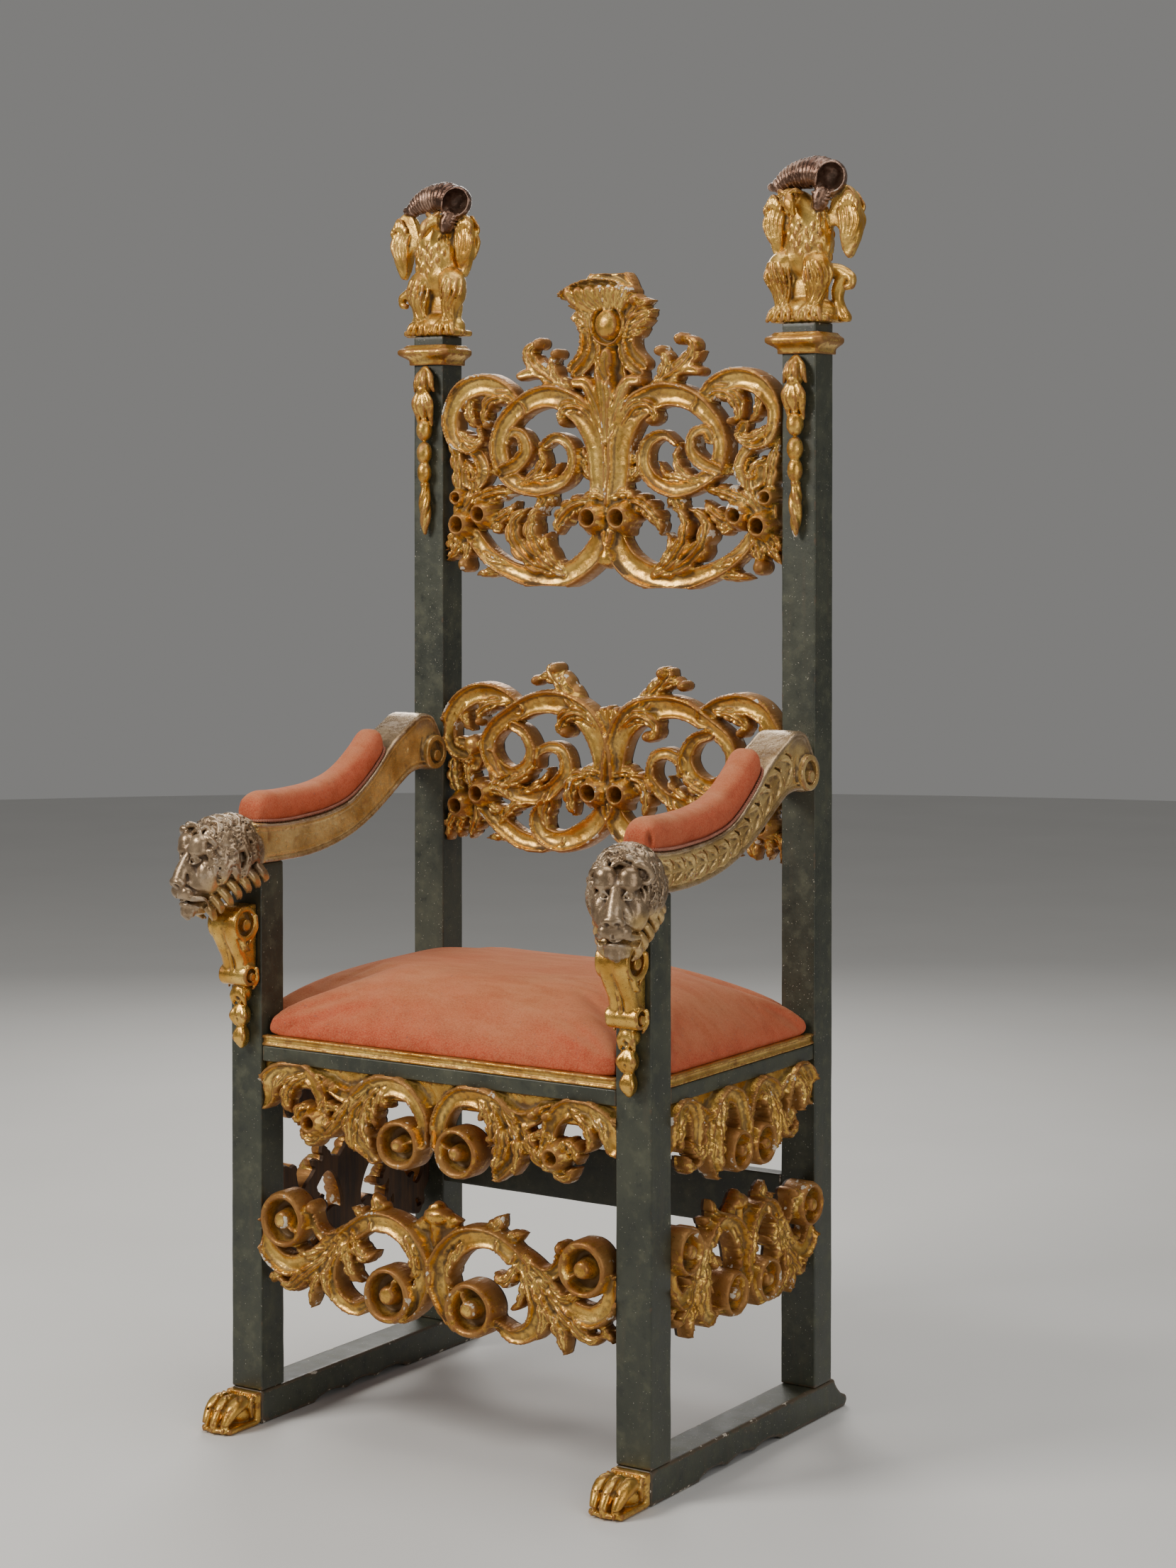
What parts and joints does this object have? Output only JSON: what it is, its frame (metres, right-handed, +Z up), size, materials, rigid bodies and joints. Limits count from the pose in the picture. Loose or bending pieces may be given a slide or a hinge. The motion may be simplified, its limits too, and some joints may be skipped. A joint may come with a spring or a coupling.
{
  "type": "ceremonial armchair",
  "caption": "Tall ceremonial armchair with dark green posts on sledge runners, gilt pierced carving, lion-headed arms, eagle finials and a faded coral velvet seat and arm pads.",
  "frame": {"origin": "middle of the footprint on the floor, from the lions' muzzles to the runners' tails", "axes": "+Z up to the shells, -Y to the front, +X to the right as seen from the front"},
  "size_m": [0.7892, 0.6388, 1.7361],
  "materials": {
    "green_paint": "worn dark green paint",
    "gilding": "aged gold leaf over red bole",
    "silvering": "tarnished silver leaf and gilding",
    "velvet": "faded velvet pile"
  },
  "bodies": {
    "root": {"left_runner": "green_paint", "right_runner": "green_paint", "left_front_post": "green_paint", "right_front_post": "green_paint", "left_rear_post": "green_paint", "right_rear_post": "green_paint", "front_seat_rail": "green_paint", "back_seat_rail": "green_paint", "left_seat_rail": "green_paint", "right_seat_rail": "green_paint", "back_stretcher": "green_paint", "front_seat_moulding": "gilding", "back_seat_moulding": "gilding", "left_seat_moulding": "gilding", "right_seat_moulding": "gilding", "front_apron": "gilding", "left_apron": "gilding", "right_apron": "gilding", "front_stretcher": "gilding", "left_stretcher": "gilding", "right_stretcher": "gilding", "left_scroll_bracket": "gilding", "right_scroll_bracket": "gilding", "upper_back_panel": "gilding", "lower_back_panel": "gilding", "left_capital": "gilding", "right_capital": "gilding", "left_husk_drop": "gilding", "right_husk_drop": "gilding", "left_eagle": "gilding", "right_eagle": "gilding", "left_arm": "silvering", "right_arm": "silvering", "seat_cushion": "velvet", "left_arm_pad": "velvet", "right_arm_pad": "velvet"}
  },
  "joints": []
}
